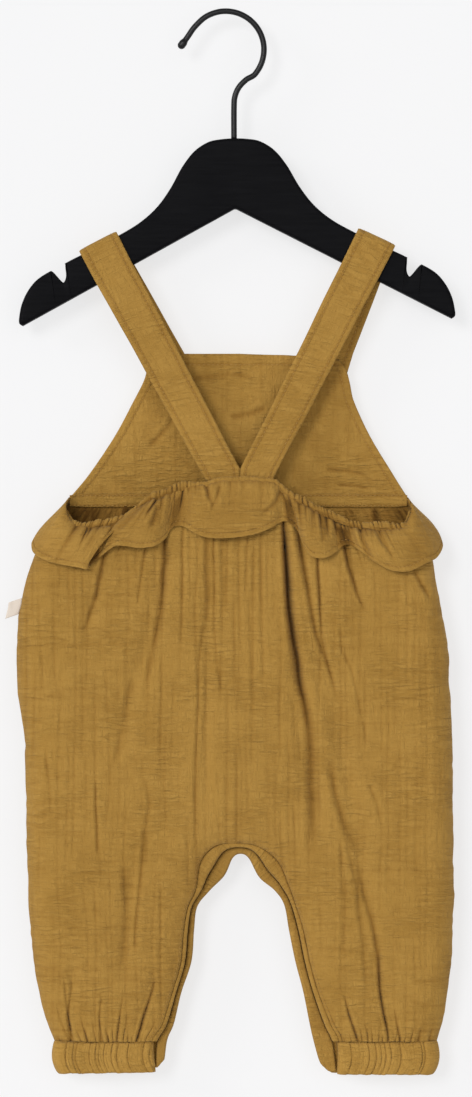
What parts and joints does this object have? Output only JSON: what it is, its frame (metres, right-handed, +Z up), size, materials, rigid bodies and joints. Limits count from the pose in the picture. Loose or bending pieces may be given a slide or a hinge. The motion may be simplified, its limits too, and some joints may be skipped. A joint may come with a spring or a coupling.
{
  "type": "kids dungarees on a hanger",
  "caption": "Baby's bib dungarees in crinkled double gauze, with crossed-down back straps, a gathered back ruffle and elastic ankles, hung flat on a notched hanger.",
  "frame": {"origin": "inner crown of the hanger's hook, where a rail or peg carries it", "axes": "+Z up along the hung garment, -Y towards the garment's back with its ruffle (the side pictured), +Y towards its front with the bib, +X to the right in that view"},
  "size_m": [0.2923, 0.0391, 0.6924],
  "materials": {
    "gauze": "mustard cotton double gauze, crinkled, matte",
    "label_cotton": "cream cotton tape",
    "press_stud": "satin",
    "hanger_lacquer": "matte black lacquer over wood",
    "hook_wire": "semi-matte black"
  },
  "bodies": {
    "root": {"back_panel": "gauze", "front_panel": "gauze", "back_waist_casing": "gauze", "back_ruffle": "gauze", "bib": "gauze", "front_waist_band": "gauze", "back_placket": "gauze", "front_placket": "gauze", "cuff_left": "gauze", "cuff_right": "gauze", "strap_left": "gauze", "strap_right": "gauze", "press_stud_1": "press_stud", "press_stud_2": "press_stud", "press_stud_3": "press_stud", "press_stud_4": "press_stud", "press_stud_5": "press_stud", "press_stud_6": "press_stud", "press_stud_7": "press_stud", "side_label": "label_cotton", "hanger_body": "hanger_lacquer", "hook": "hook_wire", "hook_tip": "hook_wire"}
  },
  "joints": []
}
